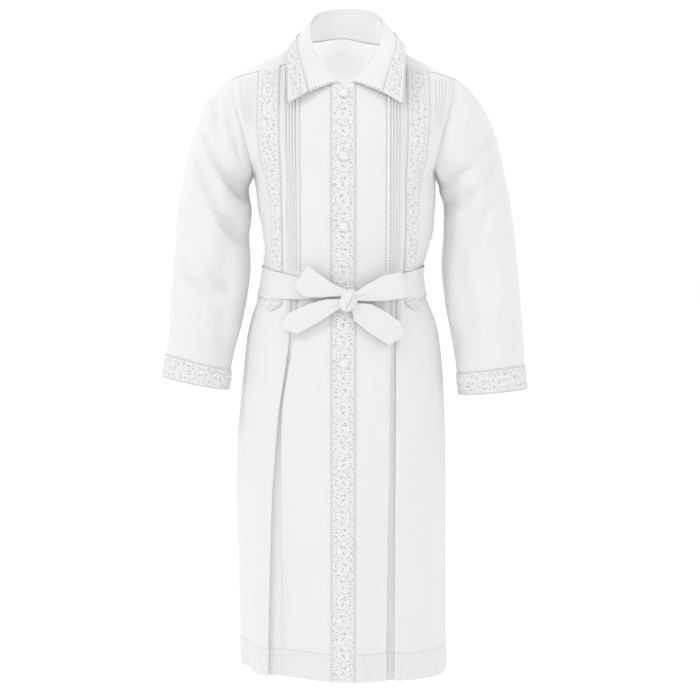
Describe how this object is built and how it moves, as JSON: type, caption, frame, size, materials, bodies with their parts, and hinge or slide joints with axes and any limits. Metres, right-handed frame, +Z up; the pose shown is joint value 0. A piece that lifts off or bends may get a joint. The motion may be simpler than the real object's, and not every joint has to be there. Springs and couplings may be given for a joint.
{
  "type": "kittel",
  "caption": "White full-length ceremonial robe with embroidered placket, chest bands, collar and cuffs, buttoned front, tied sash and pleated skirt, filled out as if worn.",
  "frame": {"origin": "centre of the neck opening at the base of the collar, level with the shoulder points of the neck, where the wearer's shoulders hold the robe", "axes": "+Z up, +X towards the wearer's left, -Y the way the front faces"},
  "size_m": [0.6903, 0.2795, 1.256],
  "materials": {
    "cloth": "matt",
    "sash_cloth": "matt",
    "embroidery": "satin",
    "covered_button": "matt"
  },
  "bodies": {
    "root": {"front_right": "cloth", "front_left": "cloth", "back": "cloth", "yoke": "cloth", "sleeve_right": "cloth", "sleeve_left": "cloth", "collar_stand": "cloth", "collar_leaf": "cloth", "sash": "sash_cloth", "bow_knot": "sash_cloth", "bow_loop_right": "sash_cloth", "bow_loop_left": "sash_cloth", "bow_tail_right": "sash_cloth", "bow_tail_left": "sash_cloth", "chest_band_right": "embroidery", "chest_band_left": "embroidery", "placket": "embroidery", "band_point_right": "embroidery", "band_point_left": "embroidery", "cuff_band_right": "embroidery", "cuff_band_left": "embroidery", "collar_band": "embroidery", "button_1": "covered_button", "button_2": "covered_button", "button_3": "covered_button", "button_4": "covered_button"}
  },
  "joints": []
}
